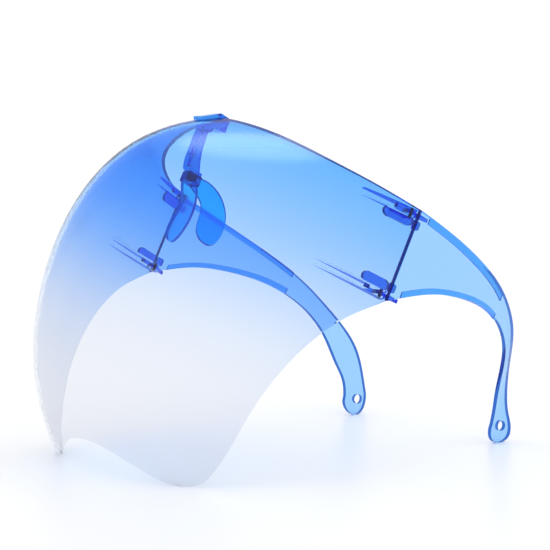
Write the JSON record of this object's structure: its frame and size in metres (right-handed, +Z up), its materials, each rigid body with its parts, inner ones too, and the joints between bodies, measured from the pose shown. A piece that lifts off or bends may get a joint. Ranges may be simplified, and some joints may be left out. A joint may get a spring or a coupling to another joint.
{
  "type": "full-face shield glasses",
  "caption": "Wraparound full-face eye and face shield in clear blue plastic, with a chin notch, two folding temples with ear hooks, and a clip-on nose bracket with pads.",
  "frame": {"origin": "centre of the bounding box's bottom, on the table the shield rests on", "axes": "+X to the wearer's left, +Y back along the open temples, +Z up from the table; the shield rests on its two chin lobes and two ear tips, tilted back about 27 degrees from how it is worn"},
  "size_m": [0.164, 0.1946, 0.1401],
  "materials": {
    "visor_tint": "polished transparent moulding, blue tint that fades to clear at the chin",
    "temple_tint": "polished transparent moulding, pale blue",
    "bracket_clear": "polished transparent moulding",
    "pad_blue": "soft translucent moulding",
    "hinge_pin": "plain wire"
  },
  "bodies": {
    "shield": {"visor": "visor_tint", "nose_bracket": "bracket_clear", "nose_pads": "pad_blue", "left_upper_pin": "hinge_pin", "left_lower_pin": "hinge_pin", "right_upper_pin": "hinge_pin", "right_lower_pin": "hinge_pin"},
    "left_temple": {"left_temple": "temple_tint"},
    "right_temple": {"right_temple": "temple_tint"}
  },
  "joints": [
    {"name": "left_temple_fold", "type": "hinge", "parent": "shield", "child": "left_temple", "pos_m": [0.0775, 0.00707, 0.0865], "axis": [0, 0.4534, 0.8913], "range_deg": [0, 85]},
    {"name": "right_temple_fold", "type": "hinge", "parent": "shield", "child": "right_temple", "pos_m": [-0.0775, 0.00707, 0.0865], "axis": [0, -0.4534, -0.8913], "range_deg": [0, 70]}
  ]
}
